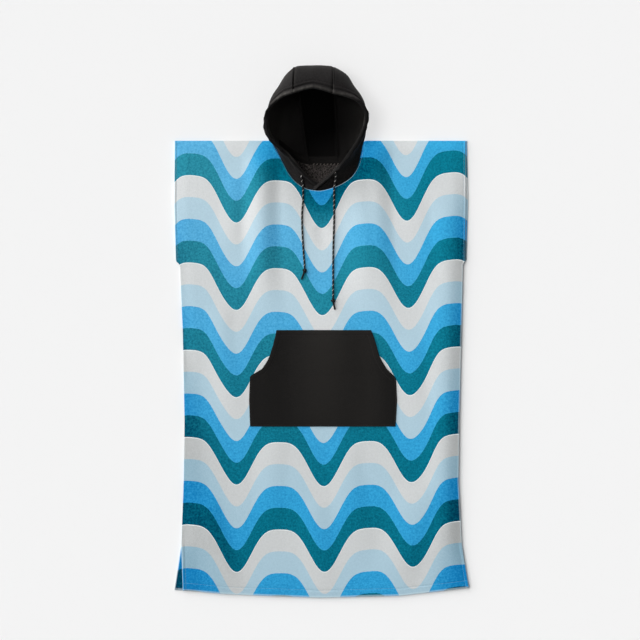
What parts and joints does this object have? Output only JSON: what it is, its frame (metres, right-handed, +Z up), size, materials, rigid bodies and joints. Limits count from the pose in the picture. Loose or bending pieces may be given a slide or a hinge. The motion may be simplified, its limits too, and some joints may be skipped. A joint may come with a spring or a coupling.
{
  "type": "hooded bath poncho",
  "caption": "Hooded bath poncho laid flat: towelling front and back open at the armholes and side slits, propped-open hood, kangaroo pocket and a drawcord with knotted ends.",
  "frame": {"origin": "middle of the underside, on the surface that the garment lies on", "axes": "+X to the viewer's right, +Y from the hem to the hood, +Z up out of the laid cloth"},
  "size_m": [0.7225, 1.2967, 0.1208],
  "materials": {
    "towelling": "short-pile towelling, printed on the outside with a wavy stripe in white, pale blue, blue and teal",
    "black_knit": "black double-knit cotton jersey, matt",
    "grey_knit": "dark grey heather single jersey, matt",
    "black_tape": "black woven twill tape, matt",
    "black_cord": "black round braided polyester cord with pale flecks"
  },
  "bodies": {
    "root": {"back_panel": "towelling", "front_panel": "towelling", "hood_left": "black_knit", "hood_centre": "black_knit", "hood_right": "black_knit", "neck_facing": "grey_knit", "neck_tape": "black_tape", "pocket": "black_knit", "drawcord_left": "black_cord", "drawcord_right": "black_cord", "drawcord_left_knot": "black_cord", "drawcord_right_knot": "black_cord"}
  },
  "joints": []
}
